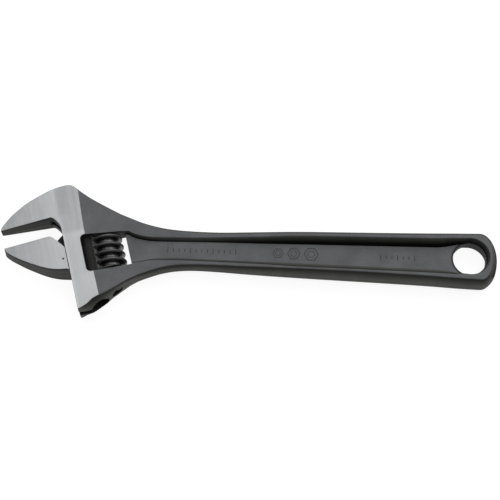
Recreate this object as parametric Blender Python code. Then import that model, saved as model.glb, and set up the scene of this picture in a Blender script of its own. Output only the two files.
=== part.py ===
"""Adjustable wrench, 250 mm: body, movable jaw, adjusting worm, worm pin and worm spring.

Metres, +Z up. The wrench lies on its back face. +X runs from the jaws to the hanging hole,
and +Y is the side of the fixed jaw. Lengths named below are in millimetres.
"""

import math

import bmesh
import bpy
from mathutils import Matrix, Vector

MM = 0.001

# Where the handle axis and the middle of the length lie, so that the origin is the bottom centre.
SHIFT_X = 0.425
SHIFT_Y = 1.6705
HALF_THICK = 8.0

# The jaw frame: v runs into the head, square to the slide face, and u runs towards the fixed jaw.
JAW_ANGLE = 15.5
CORNER = (-98.23, 14.52)

JAW_REACH = 30.0
TIP_V = -30.75
TIP_HALF = 3.6
HEAD_SLOPE = 0.154
GAP_REST = 9.8
HEAD_BOTTOM_U = -51.7

WINDOW_V = (8.55, 31.15)
WINDOW_U = (-33.4, -14.24)
WINDOW_TILT = -0.0775
WINDOW_ROUND = 2.2

BORE_V = 11.1
BORE_R = 5.2
BORE_TOP_U = 4.6
SLIT_HALF = 2.55
RAIL_R = 4.9
RAIL_U = (-37.5, -6.0)
NECK_HALF = 2.25

WORM_V = 21.15
WORM_CREST = 8.0
WORM_ROOT = 5.3
WORM_LEAD = 4.25
WORM_U = (-33.0, -15.2)
WORM_PHASE = 0.948
WORM_TURN = 32
RACK_CLEAR = 0.22

PIN_R = 2.2
PIN_HEAD_R = 2.75
PIN_BORE_R = 3.05
PIN_TIP_BORE_R = 2.5
PIN_U = (-43.2, -34.2, -9.4)

SPRING_R = 3.15
SPRING_WIRE = 0.35
SPRING_POCKET_R = 3.95
SPRING_POCKET = 4.6

HOLE_X = 113.0
HOLE_Y = 0.3
HOLE_R = 8.5
WEB_HALF = 2.4
CUT_HALF = 10.0

END_X = 127.2
END_LONG = 8.8
END_POWER = 2.0

# The handle's edge at mid-plane, (x, half width above the axis, half width below it, bulge).
EDGE = (
    (-56.0, 14.35, 16.4, 0.9),
    (-50.5, 13.05, 14.3, 1.2),
    (-44.0, 11.9, 12.2, 1.6),
    (-36.5, 11.2, 10.7, 1.8),
    (-28.0, 10.85, 10.1, 1.9),
    (-16.0, 10.7, 10.3, 2.0),
    (0.0, 11.3, 11.0, 2.2),
    (25.0, 12.4, 11.85, 2.6),
    (58.0, 13.1, 12.75, 2.8),
    (91.0, 13.9, 13.75, 2.8),
    (107.0, 14.4, 14.5, 2.8),
    (118.4, 14.7, 14.85, 2.8),
)

# Edge of the ground strip across the head, (u, v).
STRIP_EDGE = (
    (-62.0, 12.0),
    (-45.0, 11.8),
    (-34.0, 11.6),
    (-24.0, 11.25),
    (-14.0, 11.2),
    (-6.0, 11.4),
    (0.0, 11.65),
    (10.0, 12.25),
    (20.0, 13.0),
    (34.0, 14.0),
)

# Half thickness along the handle, (x, z).
SPINE = (
    (-75.0, 4.0),
    (-66.0, 4.95),
    (-57.0, 4.95),
    (-47.0, 4.55),
    (-37.0, 4.25),
    (-25.0, 4.25),
    (-8.0, 5.0),
    (8.0, 5.9),
    (25.0, 6.5),
    (41.0, 6.8),
    (58.0, 7.0),
    (131.0, 7.0),
)

# The recess, (x, web edge, front edge) above the axis, then below it.
RECESS_TOP = (
    (-66.0, 7.0, 7.7),
    (-62.5, 7.35, 8.4),
    (-59.8, 6.15, 7.2),
    (-56.2, 5.05, 6.2),
    (-51.0, 4.25, 5.6),
    (-45.0, 4.15, 5.75),
    (-35.0, 4.3, 6.05),
    (-15.0, 4.65, 6.6),
    (6.0, 4.85, 7.35),
    (26.0, 5.15, 8.25),
    (57.0, 5.55, 8.75),
    (87.0, 5.95, 9.15),
    (98.5, 6.25, 9.4),
    (106.0, 7.7, 9.75),
)
RECESS_LOW = (
    (-63.0, 8.4, 9.2),
    (-59.4, 7.65, 8.7),
    (-55.4, 6.9, 8.1),
    (-50.3, 5.6, 7.0),
    (-45.0, 5.0, 6.6),
    (-35.0, 4.6, 6.35),
    (-15.0, 4.75, 6.7),
    (6.0, 4.95, 7.4),
    (26.0, 5.15, 8.25),
    (57.0, 5.55, 8.75),
    (87.0, 5.95, 9.15),
    (98.5, 6.2, 9.4),
    (106.0, 7.2, 9.5),
)
RECESS_END_R = (8.9, 9.6)

# Outer edge of the fixed jaw and head from the tip to the neck, (x, y).
HEAD_BACK = (
    (-128.05, 8.3),
    (-124.0, 14.0),
    (-119.6, 18.4),
    (-115.6, 21.8),
    (-111.6, 24.4),
    (-107.6, 26.75),
    (-103.6, 28.85),
    (-99.6, 30.55),
    (-96.6, 31.6),
    (-94.4, 31.95),
    (-92.4, 31.65),
    (-90.6, 30.55),
    (-87.4, 28.35),
    (-83.2, 25.85),
    (-78.9, 23.65),
    (-74.6, 21.6),
    (-70.3, 19.65),
    (-66.0, 17.75),
    (-61.0, 15.8),
)

# Lower edge of the head from the neck back to the slide face, (x, y, bulge).
HEAD_LOW = (
    (-60.0, -18.45, 0.6),
    (-63.8, -21.2, 0.5),
    (-67.7, -25.1, 1.4),
    (-71.5, -29.65, 3.3),
    (-75.3, -33.0, 4.1),
    (-79.2, -34.6, 2.4),
    (-82.2, -35.15, 1.0),
)

THROAT = ((0.0, -7.5), (-0.2, -6.0), (-0.95, -4.1), (-2.2, -2.0), (-3.3, -0.6), (-4.3, 0.0))

# The movable jaw at rest in the jaw frame, (v, u), from the tip round by the back.
JAW_TOP = -GAP_REST
JAW_LINE = (
    (-30.7, JAW_TOP),
    (-7.6, JAW_TOP),
    (-6.4, JAW_TOP - 0.3),
    (-5.3, JAW_TOP - 1.2),
    (-3.3, JAW_TOP - 3.5),
    (-0.4, JAW_TOP - 7.6),
    (-0.4, -30.0),
    (-5.6, -28.9),
    (-9.7, -27.4),
    (-13.7, -25.3),
    (-17.6, -22.75),
    (-21.4, -20.1),
    (-25.1, -17.15),
    (-28.2, -14.5),
    (-30.4, -12.0),
    (-30.9, -10.6),
)
NECK_LINE = (
    (-5.5, -13.6),
    (-3.6, -11.4),
    (-0.2, -8.8),
    (6.0, -7.6),
    (10.0, -7.6),
    (10.0, -29.6),
    (-5.5, -27.0),
)


def clear_scene():
    for obj in list(bpy.data.objects):
        bpy.data.objects.remove(obj)


def group(name, helper=False):
    found = bpy.data.collections.new(name)
    bpy.context.scene.collection.children.link(found)
    found.hide_render = helper
    return found


def steel(name, color, metallic, roughness):
    material = bpy.data.materials.new(name)
    material.use_nodes = True
    shader = material.node_tree.nodes["Principled BSDF"]
    shader.inputs["Base Color"].default_value = (*color, 1.0)
    shader.inputs["Metallic"].default_value = metallic
    shader.inputs["Roughness"].default_value = roughness
    material.diffuse_color = (*color, 1.0)
    return material


def plan(x, y, z):
    """A point in metres from millimetres along the handle, across it and above mid-plane."""
    return Vector(((x + SHIFT_X) * MM, (y + SHIFT_Y) * MM, (z + HALF_THICK) * MM))


def jaw_xy(v, u):
    c = math.cos(math.radians(JAW_ANGLE))
    s = math.sin(math.radians(JAW_ANGLE))
    return (CORNER[0] + v * c - u * s, CORNER[1] + v * s + u * c)


def jaw_point(v, u, z):
    return plan(*jaw_xy(v, u), z)


def smooth_value(table, x, column):
    """A cubic through a column of the table, with its slopes taken from the rows on each side."""
    rows = [row for row in table]
    if x <= rows[0][0]:
        return rows[0][column]
    if x >= rows[-1][0]:
        return rows[-1][column]
    k = next(i for i in range(len(rows) - 1) if x <= rows[i + 1][0])

    def slope(i):
        a = rows[max(i - 1, 0)]
        b = rows[min(i + 1, len(rows) - 1)]
        return (b[column] - a[column]) / (b[0] - a[0])

    step = rows[k + 1][0] - rows[k][0]
    t = (x - rows[k][0]) / step
    start, end = rows[k][column], rows[k + 1][column]
    return (
        (2 * t**3 - 3 * t**2 + 1) * start
        + (t**3 - 2 * t**2 + t) * step * slope(k)
        + (3 * t**2 - 2 * t**3) * end
        + (t**3 - t**2) * step * slope(k + 1)
    )


def spine_at(x):
    """Half the thickness of the handle, kept level past the point where it is full."""
    return min(smooth_value(SPINE, x, 1), SPINE[-1][1])


def half_at(x, y):
    """Half the thickness of the forging at a point of the plan."""
    c = math.cos(math.radians(JAW_ANGLE))
    s = math.sin(math.radians(JAW_ANGLE))
    v = (x - CORNER[0]) * c + (y - CORNER[1]) * s
    u = (y - CORNER[1]) * c - (x - CORNER[0]) * s
    if v < 0:
        return HALF_THICK + (HALF_THICK - TIP_HALF) * v / JAW_REACH
    head = HALF_THICK - HEAD_SLOPE * max(0.0, v - smooth_value(STRIP_EDGE, u, 1))
    return max(head, spine_at(x)) if x > -75 else head


def mesh_object(name, mesh_maker, home):
    mesh = bpy.data.meshes.new(name)
    work = bmesh.new()
    mesh_maker(work)
    bmesh.ops.recalc_face_normals(work, faces=work.faces)
    work.to_mesh(mesh)
    work.free()
    obj = bpy.data.objects.new(name, mesh)
    home.objects.link(obj)
    return obj


def rings_mesh(work, rings):
    """Joins closed rings of points, one above another, and caps both ends."""
    rows = [[work.verts.new(point) for point in ring] for ring in rings]
    for low, high in zip(rows, rows[1:]):
        for i in range(len(low)):
            j = (i + 1) % len(low)
            work.faces.new((low[i], low[j], high[j], high[i]))
    work.faces.new(rows[0][::-1])
    work.faces.new(rows[-1])


def prism(name, points, low, high, home, place=plan):
    """A plan outline between two heights."""
    return mesh_object(
        name,
        lambda work: rings_mesh(work, [[place(a, b, z) for a, b in points] for z in (low, high)]),
        home,
    )


def cylinder(name, v, radius, u_low, u_high, sides, home):
    def make(work):
        rings = []
        for u in (u_low, u_high):
            ring = []
            for i in range(sides):
                angle = 2 * math.pi * i / sides
                ring.append(jaw_point(v + radius * math.cos(angle), u, radius * math.sin(angle)))
            rings.append(ring)
        rings_mesh(work, rings)

    return mesh_object(name, make, home)


def cut(obj, cutter, operation="DIFFERENCE"):
    modifier = obj.modifiers.new(cutter.name, "BOOLEAN")
    modifier.operation = operation
    modifier.solver = "EXACT"
    modifier.object = cutter
    cutter.hide_render = True
    cutter.display_type = "WIRE"


def finish(obj, material, angle=32.0):
    obj.data.materials.clear()
    obj.data.materials.append(material)
    for polygon in obj.data.polygons:
        polygon.use_smooth = True
    obj.data.set_sharp_from_angle(angle=math.radians(angle))


def outline():
    """The forging's edge, anticlockwise from the fixed jaw's tip, as (x, y, bulge)."""
    line = []
    low = [(*jaw_xy(*point), 0.0) for point in reversed(THROAT)]
    line.append((*jaw_xy(TIP_V, 0.0), 0.1))
    line += low
    line.append((*jaw_xy(0.0, HEAD_BOTTOM_U), 0.2))
    line += [row for row in reversed(HEAD_LOW)]
    x = EDGE[0][0]
    last = EDGE[-1][0]
    spots = []
    while x < last - 1:
        spots.append(x)
        x += 4.0 if x < -20 else 9.0
    spots.append(last)
    for x in spots:
        line.append((x, -smooth_value(EDGE, x, 2), smooth_value(EDGE, x, 3)))
    half_low, half_high = EDGE[-1][2], EDGE[-1][1]
    turns = 22
    for i in range(1, turns):
        angle = -math.pi / 2 + math.pi * i / turns
        c, s = math.cos(angle), math.sin(angle)
        power = 2.0 / END_POWER
        half = half_low if s < 0 else half_high
        x = END_X - END_LONG + END_LONG * abs(c) ** power
        y = math.copysign(half * abs(s) ** power, s)
        line.append((x, y, EDGE[-1][3]))
    for x in reversed(spots):
        line.append((x, smooth_value(EDGE, x, 1), smooth_value(EDGE, x, 3)))
    line += [(a, b, 0.35) for a, b in reversed(HEAD_BACK)]
    return line


def blank(home):
    """The forging's edge lofted through its thickness, fullest at mid-plane."""
    line = outline()
    count = len(line)
    inward = []
    for i in range(count):
        a, b = line[i - 1], line[(i + 1) % count]
        along = Vector((b[0] - a[0], b[1] - a[1])).normalized()
        inward.append(Vector((-along.y, along.x)))

    def make(work):
        rings = []
        for t in (-2.0, -1.0, -0.8, -0.5, 0.0, 0.5, 0.8, 1.0, 2.0):
            ring = []
            for (x, y, bulge), way in zip(line, inward):
                inset = bulge * min(abs(t), 1.0) ** 2.2
                level = math.copysign(CUT_HALF, t) if abs(t) > 1 else t * half_at(x, y)
                ring.append(plan(x + way.x * inset, y + way.y * inset, level))
            rings.append(ring)
        rings_mesh(work, rings)

    return mesh_object("body", make, home)


def thickness(home):
    """The solid the blank is kept inside: the head's ground faces, and the handle's spine."""

    def head(work):
        v_end = 50.0
        z_tip = HALF_THICK - (HALF_THICK - TIP_HALF) * 33.0 / JAW_REACH
        rings = []
        for u in range(-62, 35, 6):
            edge = smooth_value(STRIP_EDGE, u, 1)
            z_end = HALF_THICK - HEAD_SLOPE * (v_end - edge)
            top = ((-33.0, z_tip), (0.0, HALF_THICK), (edge, HALF_THICK), (v_end, z_end))
            section = [*top, *[(v, -z) for v, z in reversed(top)]]
            rings.append([jaw_point(v, u, z) for v, z in section])
        rings_mesh(work, rings)

    def spine(work):
        xs = [SPINE[0][0] + 5.0 * i for i in range(28)] + [SPINE[-1][0]]
        top = [(x, spine_at(x)) for x in xs]
        section = [*top, *[(x, -z) for x, z in reversed(top)]]
        rings_mesh(work, [[plan(x, y, z) for x, z in section] for y in (-45.0, 45.0)])

    whole = mesh_object("thickness", head, home)
    cut(whole, mesh_object("spine", spine, home), "UNION")
    return whole


def recess(name, side, home):
    """A drafted pocket down to the web on one face."""

    def make(work):
        level_low = WEB_HALF
        level_high = CUT_HALF
        low, high = [], []

        def add(x, web, front, sign):
            depth = half_at(x, 0.0) - WEB_HALF
            grow = (front - web) / depth * (level_high - level_low)
            low.append((x, sign * web))
            high.append((x, sign * (web + grow)))

        def spots(table):
            x = table[0][0]
            xs = []
            while x < table[-1][0] - 2:
                xs.append(x)
                x += 1.6 if x < -48 else 5.0
            return [*xs, table[-1][0]]

        for x in spots(RECESS_LOW):
            add(x, smooth_value(RECESS_LOW, x, 1), smooth_value(RECESS_LOW, x, 2), -1)
        web_r, front_r = RECESS_END_R
        slope = (front_r - web_r) / (half_at(HOLE_X, 0.0) - WEB_HALF)
        high_r = web_r + slope * (level_high - level_low)
        turns = 16
        for i in range(turns + 1):
            angle = -math.pi / 2 + math.pi * i / turns
            c, s = math.cos(angle), math.sin(angle)
            low.append((HOLE_X + web_r * c, HOLE_Y + web_r * s))
            high.append((HOLE_X + high_r * c, HOLE_Y + high_r * s))
        for x in reversed(spots(RECESS_TOP)):
            add(x, smooth_value(RECESS_TOP, x, 1), smooth_value(RECESS_TOP, x, 2), 1)
        rings = [
            [plan(x, y, side * level_low) for x, y in low],
            [plan(x, y, side * level_high) for x, y in high],
        ]
        rings_mesh(work, rings)

    return mesh_object(name, make, home)


def window_line():
    """The worm window in the jaw frame, with its two corners by the rail rounded."""
    v0, v1 = WINDOW_V
    u0, u1 = WINDOW_U
    r = WINDOW_ROUND
    points = [(v1, u0), (v1, u1 + WINDOW_TILT * (v1 - WORM_V))]
    corner = u1 + WINDOW_TILT * (v0 + r - WORM_V) - r
    for i in range(6):
        angle = math.pi / 2 + math.pi / 2 * i / 5
        points.append((v0 + r + r * math.cos(angle), corner + r * math.sin(angle)))
    for i in range(6):
        angle = math.pi + math.pi / 2 * i / 5
        points.append((v0 + r + r * math.cos(angle), u0 + r + r * math.sin(angle)))
    return points


def body(home, helpers, material):
    obj = blank(home)
    cut(obj, thickness(helpers), "INTERSECT")
    cut(obj, recess("recess_front", 1, helpers))
    cut(obj, recess("recess_back", -1, helpers))
    cut(obj, prism("window", window_line(), -CUT_HALF, CUT_HALF, helpers, jaw_point))
    turns = [2 * math.pi * i / 48 for i in range(48)]
    hole = [(HOLE_X + HOLE_R * math.cos(a), HOLE_Y + HOLE_R * math.sin(a)) for a in turns]
    cut(obj, prism("hanging_hole", hole, -CUT_HALF, CUT_HALF, helpers))
    bore = cylinder("rail_bore", BORE_V, BORE_R, -62.0, BORE_TOP_U, 40, helpers)
    slit = ((-6.0, -62.0), (-6.0, -1.0), (-5.2, 0.25), (-1.0, 2.6), (BORE_V, 2.6), (BORE_V, -62.0))
    cut(bore, prism("slit", slit, -SLIT_HALF, SLIT_HALF, helpers, jaw_point), "UNION")
    cut(obj, bore)
    low = cylinder("pin_bore", WORM_V, PIN_BORE_R, -60.0, WINDOW_U[0] + 2.0, 28, helpers)
    cut(obj, low)
    top_u = PIN_U[2] + 0.4
    high = cylinder("pin_tip_bore", WORM_V, PIN_TIP_BORE_R, WINDOW_U[1] - 2.0, top_u, 24, helpers)
    cut(obj, high)
    finish(obj, material)
    return obj


def thread_radius(turn, grow, widen):
    """The worm's radius at a fraction of one pitch from a crest."""
    away = abs((turn + 0.5) % 1.0 - 0.5)
    flat, foot = 0.10 + widen, 0.40 + widen
    if away <= flat:
        part = 1.0
    elif away >= foot:
        part = 0.0
    else:
        t = (away - flat) / (foot - flat)
        part = 0.5 + 0.5 * math.cos(math.pi * t)
    crown = 0.25 * (away / max(flat, 1e-6)) ** 2 if away < flat else 0.25
    return WORM_ROOT + (WORM_CREST - WORM_ROOT) * part - crown * part + grow


def threaded(name, u_low, u_high, grow, widen, home):
    """A left-hand screw on the worm's axis, its rows running along the thread."""
    per_turn = 10
    first = math.floor(u_low / WORM_LEAD - 2.0)
    last = math.ceil(u_high / WORM_LEAD + 2.0)
    rows = [first * per_turn + i for i in range((last - first) * per_turn + 1)]

    def make(work):
        grid = []
        for row in rows:
            ring = []
            for k in range(WORM_TURN + 1):
                angle = 2 * math.pi * k / WORM_TURN
                u = WORM_LEAD * (row / per_turn + WORM_PHASE + k / WORM_TURN)
                radius = thread_radius(row / per_turn, grow, widen)
                v = WORM_V + radius * math.cos(angle)
                ring.append((v, u, radius * math.sin(angle)))
            grid.append(ring)
        verts = {}
        for i, ring in enumerate(grid):
            for k in range(WORM_TURN):
                verts[i, k] = work.verts.new(jaw_point(*ring[k]))

        def vert(i, k):
            return verts[i + per_turn, 0] if k == WORM_TURN else verts[i, k]

        for i in range(len(grid) - 1 - per_turn):
            for k in range(WORM_TURN):
                work.faces.new((vert(i, k), vert(i, k + 1), vert(i + 1, k + 1), vert(i + 1, k)))
        loose = [point for point in work.verts if not point.link_faces]
        bmesh.ops.delete(work, geom=loose, context="VERTS")
        bmesh.ops.holes_fill(work, edges=[e for e in work.edges if e.is_boundary], sides=0)

    screw = mesh_object(name, make, home)
    return screw


def set_origin(obj, point):
    """Moves the object's origin without moving its mesh in the world."""
    obj.data.transform(Matrix.Translation(-point))
    obj.location = point


def movable_jaw(home, helpers, material):
    def make(work):
        count = len(JAW_LINE)
        rings = []
        for t in (-1.0, -0.7, 0.0, 0.7, 1.0):
            ring = []
            for i, (v, u) in enumerate(JAW_LINE):
                a, b = JAW_LINE[i - 1], JAW_LINE[(i + 1) % count]
                along = Vector((b[0] - a[0], b[1] - a[1])).normalized()
                draft = (0.4 if t > 0 else -0.35) if i > 6 else 0.0
                inset = draft * abs(t) ** 2.2
                half = HALF_THICK + (HALF_THICK - TIP_HALF) * v / JAW_REACH
                x, y = v + along.y * inset, u - along.x * inset
                ring.append(jaw_point(x, y, t * half))
            rings.append(ring)
        rings_mesh(work, rings)

    obj = mesh_object("movable_jaw", make, home)
    cut(obj, prism("neck", NECK_LINE, -NECK_HALF, NECK_HALF, helpers, jaw_point), "UNION")
    rail = cylinder("rail", BORE_V, RAIL_R, *RAIL_U, 40, helpers)
    cut(obj, rail, "UNION")
    cut(obj, threaded("rack_cut", RAIL_U[0] - 6, RAIL_U[1] + 6, RACK_CLEAR, 0.035, helpers))
    dimple = jaw_point(-2.1, -23.8, HALF_THICK + 0.15)

    def cone(work):
        bmesh.ops.create_icosphere(work, subdivisions=2, radius=0.75 * MM)
        bmesh.ops.translate(work, verts=work.verts, vec=dimple)

    cut(obj, mesh_object("dimple", cone, helpers))
    finish(obj, material, 28.0)
    return obj


def adjusting_worm(home, helpers, material):
    obj = threaded("adjusting_worm", *WORM_U, 0.0, 0.0, home)
    u0, u1 = WORM_U
    keep = cylinder("worm_keep", WORM_V, WORM_CREST + 1.0, u0, u1, 24, helpers)
    cut(obj, keep, "INTERSECT")
    cut(obj, cylinder("worm_bore", WORM_V, PIN_R + 0.3, u0 - 2, u1 + 2, 24, helpers))
    pocket = cylinder("spring_pocket", WORM_V, SPRING_POCKET_R, u1 - SPRING_POCKET, u1 + 2, 24, helpers)
    cut(obj, pocket)
    finish(obj, material, 50.0)
    return obj


def worm_pin(home, helpers, material):
    u_head, u_neck, u_tip = PIN_U
    profile = (
        (0.0, u_head),
        (PIN_HEAD_R - 0.4, u_head),
        (PIN_HEAD_R, u_head + 0.4),
        (PIN_HEAD_R, u_neck - 0.3),
        (PIN_R, u_neck),
        (PIN_R, u_tip - 0.5),
        (PIN_R - 0.5, u_tip),
        (0.0, u_tip),
    )
    sides = 24

    def make(work):
        rings = []
        for radius, u in profile[1:-1]:
            ring = []
            for i in range(sides):
                angle = 2 * math.pi * i / sides
                z = radius * math.sin(angle)
                ring.append(jaw_point(WORM_V + radius * math.cos(angle), u, z))
            rings.append(ring)
        rings_mesh(work, rings)

    obj = mesh_object("worm_pin", make, home)
    slot = ((-5.0, u_head - 3.0), (5.0, u_head - 3.0), (5.0, u_head + 1.3), (-5.0, u_head + 1.3))
    slot = [(WORM_V + a, b) for a, b in slot]
    cut(obj, prism("driver_slot", slot, -0.5, 0.5, helpers, jaw_point))
    finish(obj, material)
    return obj


def worm_spring(home, material):
    """Three and a half free coils in the pocket at the worm's upper end."""
    low = WORM_U[1] - SPRING_POCKET + SPRING_WIRE + 0.3
    high = WINDOW_U[1] - SPRING_WIRE - 0.3
    turns = 3.5
    steps = 14

    def make(work):
        count = round(turns * steps)
        ring_sides = 6
        rings = []
        for i in range(count + 1):
            part = i / count
            angle = 2 * math.pi * turns * part
            u = low + (high - low) * part
            ring = []
            for k in range(ring_sides):
                round_angle = 2 * math.pi * k / ring_sides
                radius = SPRING_R + SPRING_WIRE * math.cos(round_angle)
                v = WORM_V + radius * math.cos(angle)
                ring.append(jaw_point(v, u + SPRING_WIRE * math.sin(round_angle), radius * math.sin(angle)))
            rings.append(ring)
        rings_mesh(work, rings)

    obj = mesh_object("worm_spring", make, home)
    finish(obj, material, 70.0)
    return obj


def main():
    clear_scene()
    home = group("adjustable_wrench")
    helpers = group("cutters", True)
    dark = steel("phosphated_steel", (0.10, 0.10, 0.10), 0.6, 0.5)
    ground = steel("jaw_steel", (0.42, 0.43, 0.44), 0.9, 0.38)
    black = steel("worm_black", (0.015, 0.015, 0.015), 0.4, 0.3)
    plain = steel("pin_steel", (0.12, 0.12, 0.12), 0.8, 0.4)
    wire = steel("spring_steel", (0.30, 0.30, 0.30), 0.9, 0.35)
    body(home, helpers, dark)
    movable_jaw(home, helpers, ground)
    worm = adjusting_worm(home, helpers, black)
    worm_pin(home, helpers, plain)
    worm_spring(home, wire)
    bpy.context.view_layer.update()
    set_origin(worm, jaw_point(WORM_V, (WORM_U[0] + WORM_U[1]) / 2, 0.0))


main()
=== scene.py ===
import math

import bmesh
import bpy
from mathutils import Matrix, Vector


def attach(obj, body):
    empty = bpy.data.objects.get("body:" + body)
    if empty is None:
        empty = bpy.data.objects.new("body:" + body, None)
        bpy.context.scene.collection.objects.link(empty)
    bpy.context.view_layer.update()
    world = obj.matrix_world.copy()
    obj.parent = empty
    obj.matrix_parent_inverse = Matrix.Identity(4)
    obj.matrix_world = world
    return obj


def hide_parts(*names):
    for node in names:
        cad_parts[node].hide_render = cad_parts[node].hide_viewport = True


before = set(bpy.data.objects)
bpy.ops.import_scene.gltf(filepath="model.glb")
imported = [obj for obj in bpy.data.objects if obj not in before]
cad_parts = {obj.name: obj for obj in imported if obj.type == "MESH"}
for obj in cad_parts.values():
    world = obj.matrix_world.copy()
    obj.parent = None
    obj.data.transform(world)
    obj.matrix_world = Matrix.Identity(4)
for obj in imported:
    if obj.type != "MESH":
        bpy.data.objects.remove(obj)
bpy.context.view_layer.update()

# All lengths are millimetres until they are placed in a mesh.
MM = 0.001
PER_METRE = 1000
SHIFT = Vector((0.425, 1.6705, 8.0))
# Heights in metres at which cutters end, clear of the front and of the back.
ABOVE = 0.018
BELOW = -0.002

# Viewpoint.
VIEW_CENTRE = Vector((0.975, 3.7705, 8.0))
VIEW_DISTANCE = 672.0
VIEW_TILT = 20.5
VIEW_ROLL = 2.1
VIEW_WIDTH = 257.3

# Studio. Its walls give the first light nearest the viewer and the second on the far side.
STUDIO_LIGHT = (0.07, 0.66)
FAR_POWER = 8.0
OVERHEAD_POWER = 7.6
FLOOR_GLOW = 0.9

# The jaws stand at an angle to the handle. v runs into the head and u towards the fixed jaw.
JAW_ANGLE = math.radians(15.5)
JAW_CORNER = (-98.23, 14.52)
JAW_COS, JAW_SIN = math.cos(JAW_ANGLE), math.sin(JAW_ANGLE)
HALF_THICK = 8.0
TIP_HALF = 3.6
JAW_REACH = 30.0
TIP_V = -30.75
HEAD_FALL = 0.154
HEAD_FOOT = -51.7
JAW_GAP = 9.8

WINDOW_V = (8.55, 31.15)
WINDOW_U = (-33.4, -14.24)
WINDOW_TILT = -0.0775
WINDOW_CORNER = 2.2
RAIL_V = 11.1
RAIL_BORE = 5.2
RAIL_RADIUS = 4.9
RAIL_U = (-37.5, -6.0)
RAIL_BORE_END = 4.6
SLIT_V = -6.0
SLIT_HALF = 2.55
NECK_HALF = 2.25
PAST_FOOT = -62.0

WORM_V = 21.15
WORM_CREST = 8.0
WORM_ROOT = 5.3
WORM_LEAD = 4.25
WORM_PHASE = 0.948
WORM_U = (-33.0, -15.2)
# The thread's section, in turns from the middle of a crest, and how far the crest is crowned.
THREAD_FLAT = 0.10
THREAD_FOOT = 0.40
THREAD_CROWN = 0.25
PIN_U = (-43.2, -34.2, -9.4)
PIN_RADII = (2.75, 2.2)
PIN_BORES = (3.05, 2.5)
PIN_PLAY = 0.3
SPRING_RADIUS = 3.15
SPRING_WIRE = 0.35
SPRING_GAP = 0.3
SPRING_POCKET = (3.95, 4.6)

HOLE_X = 113.0
HOLE_Y = 0.3
HOLE_RADIUS = 8.5
WEB_HALF = 2.4
RECESS_END = (8.9, 9.6)
END_X = 127.2
END_LONG = 8.8

# The handle's edge: x, half width above the axis, half width below it, and how far the flank swells.
HANDLE_EDGE = (
    (-56.0, 14.35, 16.4, 0.9),
    (-50.5, 13.05, 14.3, 1.2),
    (-44.0, 11.9, 12.2, 1.6),
    (-36.5, 11.2, 10.7, 1.8),
    (-28.0, 10.85, 10.1, 1.9),
    (-16.0, 10.7, 10.3, 2.0),
    (0.0, 11.3, 11.0, 2.2),
    (25.0, 12.4, 11.85, 2.6),
    (58.0, 13.1, 12.75, 2.8),
    (91.0, 13.9, 13.75, 2.8),
    (107.0, 14.4, 14.5, 2.8),
    (118.4, 14.7, 14.85, 2.8),
)
# Half the thickness along the handle.
HANDLE_SPINE = (
    (-75.0, 4.0),
    (-66.0, 4.95),
    (-57.0, 4.95),
    (-47.0, 4.55),
    (-37.0, 4.25),
    (-25.0, 4.25),
    (-8.0, 5.0),
    (8.0, 5.9),
    (25.0, 6.5),
    (41.0, 6.8),
    (58.0, 7.0),
    (131.0, 7.0),
)
# The recess: x, where its wall meets the web, and where it meets the front, above and below the axis.
RECESS_ABOVE = (
    (-66.0, 7.0, 7.7),
    (-62.5, 7.35, 8.4),
    (-59.8, 6.15, 7.2),
    (-56.2, 5.05, 6.2),
    (-51.0, 4.25, 5.6),
    (-45.0, 4.15, 5.75),
    (-35.0, 4.3, 6.05),
    (-15.0, 4.65, 6.6),
    (6.0, 4.85, 7.35),
    (26.0, 5.15, 8.25),
    (57.0, 5.55, 8.75),
    (87.0, 5.95, 9.15),
    (98.5, 6.25, 9.4),
    (106.0, 7.7, 9.75),
)
RECESS_BELOW = (
    (-63.0, 8.4, 9.2),
    (-59.4, 7.65, 8.7),
    (-55.4, 6.9, 8.1),
    (-50.3, 5.6, 7.0),
    (-45.0, 5.0, 6.6),
    (-35.0, 4.6, 6.35),
    (-15.0, 4.75, 6.7),
    (6.0, 4.95, 7.4),
    (26.0, 5.15, 8.25),
    (57.0, 5.55, 8.75),
    (87.0, 5.95, 9.15),
    (98.5, 6.2, 9.4),
    (106.0, 7.2, 9.5),
)
# The edge of the ground strip across the head: u, v.
GROUND_EDGE = (
    (-62.0, 12.0),
    (-45.0, 11.8),
    (-34.0, 11.6),
    (-24.0, 11.25),
    (-14.0, 11.2),
    (-6.0, 11.4),
    (0.0, 11.65),
    (10.0, 12.25),
    (20.0, 13.0),
    (34.0, 14.0),
)
# The head's back from the fixed jaw's tip to the neck.
HEAD_BACK = (
    (-128.05, 8.3),
    (-124.0, 14.0),
    (-119.6, 18.4),
    (-115.6, 21.8),
    (-111.6, 24.4),
    (-107.6, 26.75),
    (-103.6, 28.85),
    (-99.6, 30.55),
    (-96.6, 31.6),
    (-94.4, 31.95),
    (-92.4, 31.65),
    (-90.6, 30.55),
    (-87.4, 28.35),
    (-83.2, 25.85),
    (-78.9, 23.65),
    (-74.6, 21.6),
    (-70.3, 19.65),
    (-66.0, 17.75),
    (-61.0, 15.8),
)
# The head's foot from the neck to the slide face, with the swell of its edge.
HEAD_NOSE = (
    (-60.0, -18.45, 0.6),
    (-63.8, -21.2, 0.5),
    (-67.7, -25.1, 1.4),
    (-71.5, -29.65, 3.3),
    (-75.3, -33.0, 4.1),
    (-79.2, -34.6, 2.4),
    (-82.2, -35.15, 1.0),
)
# The round corner between the slide face and the fixed jaw: v, u.
THROAT = ((0.0, -7.5), (-0.2, -6.0), (-0.95, -4.1), (-2.2, -2.0), (-3.3, -0.6), (-4.3, 0.0))
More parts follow.
